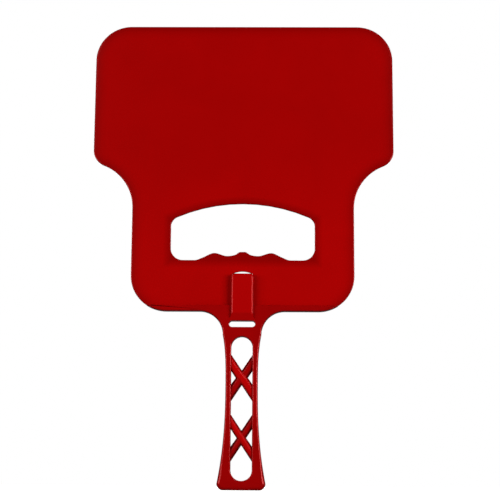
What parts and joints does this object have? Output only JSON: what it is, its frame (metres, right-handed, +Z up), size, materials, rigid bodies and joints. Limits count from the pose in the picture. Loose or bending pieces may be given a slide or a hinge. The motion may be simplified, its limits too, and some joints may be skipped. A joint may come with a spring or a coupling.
{
  "type": "hand fan",
  "caption": "Flat rigid hand fan: a broad rounded blade with a scalloped finger hole, slid into a lattice handle with a spring tongue.",
  "frame": {"origin": "middle of the grip, on the handle's centre line, midway between its front and back", "axes": "+Z up the handle to the blade, +X to the right, -Y out of the front, where the tongue is"},
  "size_m": [0.2134, 0.0096, 0.33],
  "materials": {
    "blade_plastic": "glossy red polypropylene",
    "handle_plastic": "glossy red polypropylene"
  },
  "bodies": {
    "handle": {"handle_foot": "handle_plastic", "left_rail": "handle_plastic", "right_rail": "handle_plastic", "neck": "handle_plastic", "channel_bar": "handle_plastic", "upper_front_brace": "handle_plastic", "upper_rear_brace": "handle_plastic", "lower_front_brace": "handle_plastic", "lower_rear_brace": "handle_plastic", "back_plate": "handle_plastic", "tongue_root": "handle_plastic"},
    "blade": {"blade": "blade_plastic"},
    "tongue": {"spring_tongue": "handle_plastic"}
  },
  "joints": [
    {"name": "blade_slide", "type": "slide", "parent": "handle", "child": "blade", "axis": [0, 0, 1], "range_m": [0, 0.03]},
    {"name": "tongue_flex", "type": "hinge", "parent": "handle", "child": "tongue", "pos_m": [0, -0.005, 0.0655], "axis": [1, 0, 0], "range_deg": [0, 6], "stiffness_Nm_per_rad": 2.6}
  ]
}
